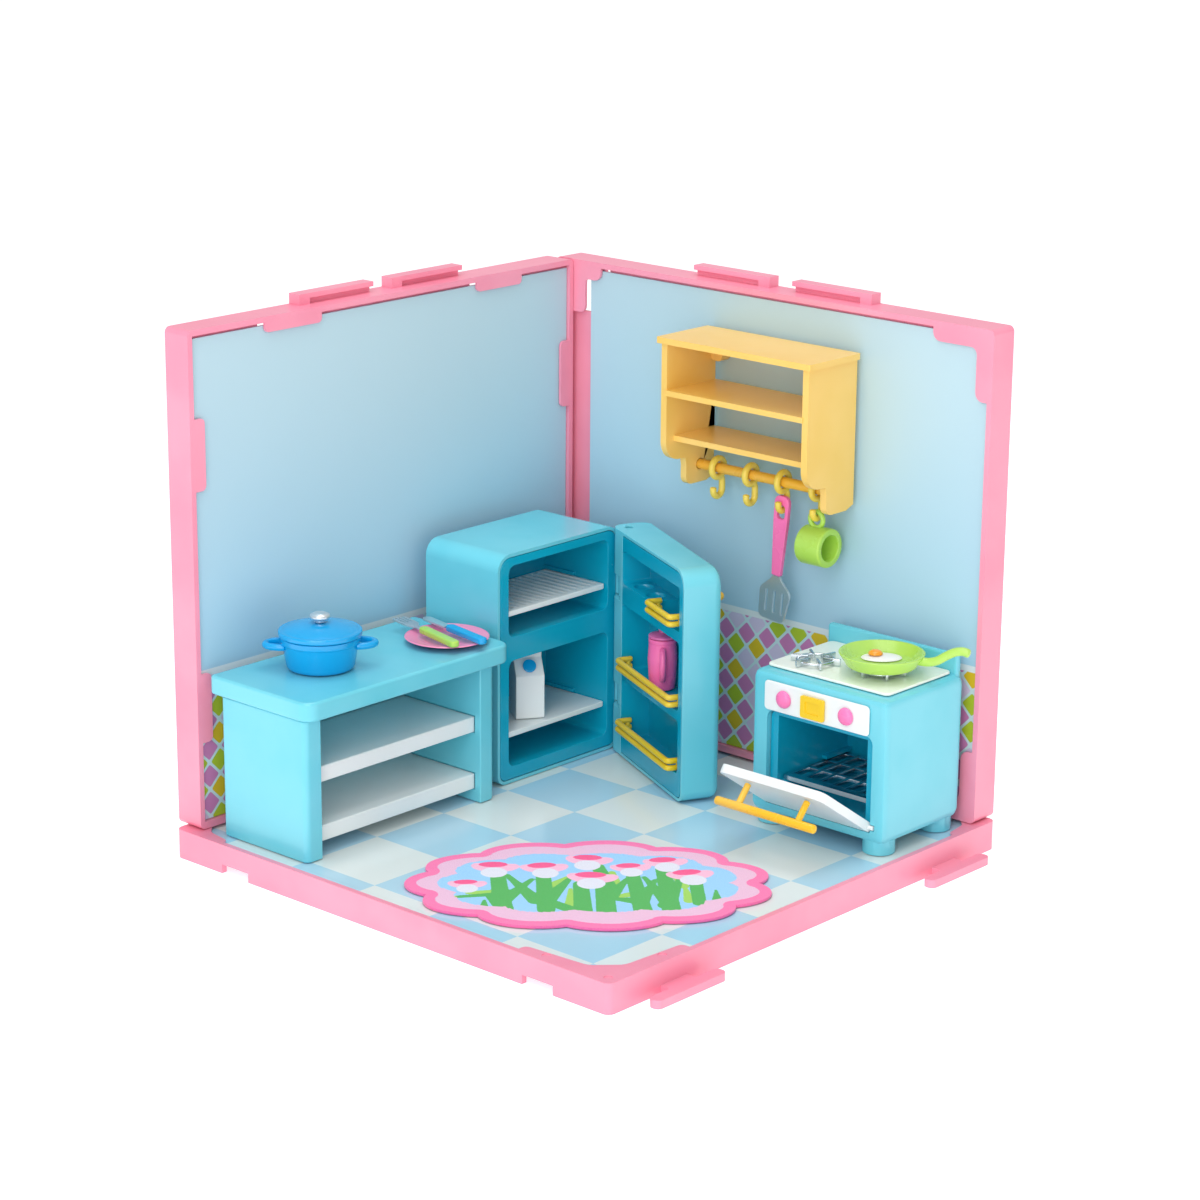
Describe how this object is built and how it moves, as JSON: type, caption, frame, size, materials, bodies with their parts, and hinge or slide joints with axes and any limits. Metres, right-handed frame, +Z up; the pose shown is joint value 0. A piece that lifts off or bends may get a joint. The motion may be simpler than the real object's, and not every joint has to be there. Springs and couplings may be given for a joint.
{
  "type": "toy kitchen",
  "caption": "Toy kitchen room for small dolls: clip-together pink floor and walls with printed cards, counter, opening fridge, stove, hanging shelf, rug and utensils.",
  "frame": {"origin": "middle of the bounding box at the plane the floor panel stands on", "axes": "+X to the right along the back wall, +Y towards the back wall, +Z up"},
  "size_m": [0.2106, 0.202, 0.188],
  "materials": {
    "pink_plastic": "soft gloss moulded",
    "turquoise_plastic": "soft gloss moulded",
    "white_plastic": "soft gloss moulded",
    "mint_white_plastic": "soft gloss moulded",
    "blue_plastic": "glossy moulded",
    "rose_plastic": "glossy moulded",
    "pale_pink_plastic": "glossy moulded",
    "hot_pink_plastic": "glossy moulded",
    "lime_plastic": "glossy moulded",
    "yellow_plastic": "soft gloss moulded",
    "amber_plastic": "soft gloss moulded",
    "cream_yellow_plastic": "soft gloss moulded",
    "deep_yellow_plastic": "soft gloss moulded",
    "lemon_plastic": "soft gloss moulded",
    "display_yellow_plastic": "glossy moulded",
    "silver_plastic": "bright plated plastic",
    "silver_wire": "bright plated plastic",
    "egg_plastic": "glossy moulded",
    "yolk_plastic": "glossy moulded",
    "floor_card_print": "printed card, satin",
    "wall_card_print": "printed card, satin",
    "rug_flock": "flocked print"
  },
  "bodies": {
    "room": {"floor_frame": "pink_plastic", "floor_card": "floor_card_print", "left_wall_frame": "pink_plastic", "left_wall_card": "wall_card_print", "back_wall_frame": "pink_plastic", "back_wall_card": "wall_card_print"},
    "rug": {"rug": "rug_flock"},
    "counter": {"counter_worktop": "turquoise_plastic", "counter_base": "turquoise_plastic", "counter_upper_shelf": "white_plastic", "counter_lower_shelf": "white_plastic"},
    "pot": {"pot_body": "blue_plastic"},
    "pot_lid": {"pot_lid": "blue_plastic", "pot_lid_knob": "silver_plastic"},
    "plate": {"plate": "rose_plastic"},
    "fork": {"fork_head": "silver_plastic", "fork_handle": "lime_plastic"},
    "knife": {"knife_blade": "silver_plastic", "knife_handle": "blue_plastic"},
    "fridge": {"fridge_shell": "turquoise_plastic", "fridge_liner": "turquoise_plastic", "fridge_hinge_pin_upper": "silver_plastic", "fridge_hinge_pin_lower": "silver_plastic"},
    "fridge_door": {"fridge_door_shell": "turquoise_plastic", "fridge_door_liner": "turquoise_plastic", "fridge_door_rail_top": "yellow_plastic", "fridge_door_rail_middle": "yellow_plastic", "fridge_door_rail_bottom": "yellow_plastic", "fridge_door_handle": "amber_plastic"},
    "jug": {"jug": "hot_pink_plastic", "jug_lid": "pale_pink_plastic"},
    "wire_shelf": {"fridge_wire_shelf": "white_plastic"},
    "lower_shelf": {"fridge_lower_shelf": "white_plastic"},
    "milk": {"milk_carton": "white_plastic", "milk_cap": "blue_plastic"},
    "stove": {"stove_shell": "turquoise_plastic", "oven_liner": "turquoise_plastic", "hob_plate": "mint_white_plastic", "burner_grate_left": "silver_wire", "burner_grate_right": "silver_wire", "control_panel": "white_plastic", "knob_left": "hot_pink_plastic", "knob_right": "hot_pink_plastic", "oven_display": "display_yellow_plastic"},
    "oven_door": {"oven_door": "white_plastic", "oven_door_handle": "amber_plastic"},
    "oven_rack": {"oven_rack": "silver_wire"},
    "pan": {"frying_pan": "lime_plastic"},
    "egg": {"egg_white": "egg_plastic", "egg_yolk": "yolk_plastic"},
    "wall_shelf": {"wall_shelf_unit": "cream_yellow_plastic", "utensil_rail": "deep_yellow_plastic"},
    "hook_1": {"hook_1": "lemon_plastic"},
    "hook_2": {"hook_2": "lemon_plastic"},
    "hook_3": {"hook_3": "lemon_plastic"},
    "hook_4": {"hook_4": "lemon_plastic"},
    "spatula": {"spatula_handle": "hot_pink_plastic", "spatula_blade": "silver_plastic"},
    "mug": {"mug": "lime_plastic"}
  },
  "joints": [
    {"name": "rug_lift", "type": "slide", "parent": "room", "child": "rug", "axis": [0, 0, 1], "range_m": [0, 0.01]},
    {"name": "counter_lift", "type": "slide", "parent": "room", "child": "counter", "axis": [0, 0, 1], "range_m": [0, 0.02]},
    {"name": "pot_lift", "type": "slide", "parent": "counter", "child": "pot", "axis": [0, 0, 1], "range_m": [0, 0.02]},
    {"name": "pot_lid_lift", "type": "slide", "parent": "pot", "child": "pot_lid", "axis": [0, 0, 1], "range_m": [0, 0.015]},
    {"name": "plate_lift", "type": "slide", "parent": "counter", "child": "plate", "axis": [0, 0, 1], "range_m": [0, 0.01]},
    {"name": "fork_lift", "type": "slide", "parent": "plate", "child": "fork", "axis": [0, 0, 1], "range_m": [0, 0.01]},
    {"name": "knife_lift", "type": "slide", "parent": "plate", "child": "knife", "axis": [0, 0, 1], "range_m": [0, 0.01]},
    {"name": "fridge_lift", "type": "slide", "parent": "room", "child": "fridge", "axis": [0, 0, 1], "range_m": [0, 0.01]},
    {"name": "fridge_door_hinge", "type": "hinge", "parent": "fridge", "child": "fridge_door", "pos_m": [-0.0473, 0.06903, 0.052], "axis": [0, 0, 1], "range_deg": [-63.9, 12]},
    {"name": "jug_slide", "type": "slide", "parent": "fridge_door", "child": "jug", "axis": [-0.898, 0.4399, 0], "range_m": [0, 0.015]},
    {"name": "wire_shelf_slide", "type": "slide", "parent": "fridge", "child": "wire_shelf", "axis": [1, 0, 0], "range_m": [0, 0.005]},
    {"name": "lower_shelf_slide", "type": "slide", "parent": "fridge", "child": "lower_shelf", "axis": [1, 0, 0], "range_m": [0, 0.005]},
    {"name": "milk_carton_slide", "type": "slide", "parent": "lower_shelf", "child": "milk", "axis": [1, 0, 0], "range_m": [0, 0.02]},
    {"name": "stove_lift", "type": "slide", "parent": "room", "child": "stove", "axis": [0, 0, 1], "range_m": [0, 0.008]},
    {"name": "oven_door_hinge", "type": "hinge", "parent": "stove", "child": "oven_door", "pos_m": [0.0629, 0.04283, 0.0197], "axis": [1, 0, 0], "range_deg": [-56, 25]},
    {"name": "oven_rack_slide", "type": "slide", "parent": "stove", "child": "oven_rack", "axis": [0, -1, 0], "range_m": [0, 0.01]},
    {"name": "frying_pan_lift", "type": "slide", "parent": "stove", "child": "pan", "axis": [0, 0, 1], "range_m": [0, 0.02]},
    {"name": "egg_lift", "type": "slide", "parent": "pan", "child": "egg", "axis": [0, 0, 1], "range_m": [0, 0.008]},
    {"name": "wall_shelf_lift", "type": "slide", "parent": "room", "child": "wall_shelf", "axis": [0, 0, 1], "range_m": [0, 0.005]},
    {"name": "hook_1_swing", "type": "hinge", "parent": "wall_shelf", "child": "hook_1", "pos_m": [-0.0157, 0.08073, 0.1202], "axis": [1, 0, 0], "range_deg": [-12, 6]},
    {"name": "hook_2_swing", "type": "hinge", "parent": "wall_shelf", "child": "hook_2", "pos_m": [-0.0005, 0.08073, 0.1202], "axis": [1, 0, 0], "range_deg": [-12, 6]},
    {"name": "hook_3_swing", "type": "hinge", "parent": "wall_shelf", "child": "hook_3", "pos_m": [0.0141, 0.08073, 0.1202], "axis": [1, 0, 0], "range_deg": [-12, 6]},
    {"name": "hook_4_swing", "type": "hinge", "parent": "wall_shelf", "child": "hook_4", "pos_m": [0.0295, 0.08073, 0.1202], "axis": [1, 0, 0], "range_deg": [-12, 6]},
    {"name": "spatula_swing", "type": "hinge", "parent": "hook_3", "child": "spatula", "pos_m": [0.0141, 0.08073, 0.1098], "axis": [0, 1, 0], "range_deg": [-12, 8]},
    {"name": "mug_swing", "type": "hinge", "parent": "hook_4", "child": "mug", "pos_m": [0.0295, 0.08073, 0.1098], "axis": [0, 1, 0], "range_deg": [-12, 12]}
  ]
}
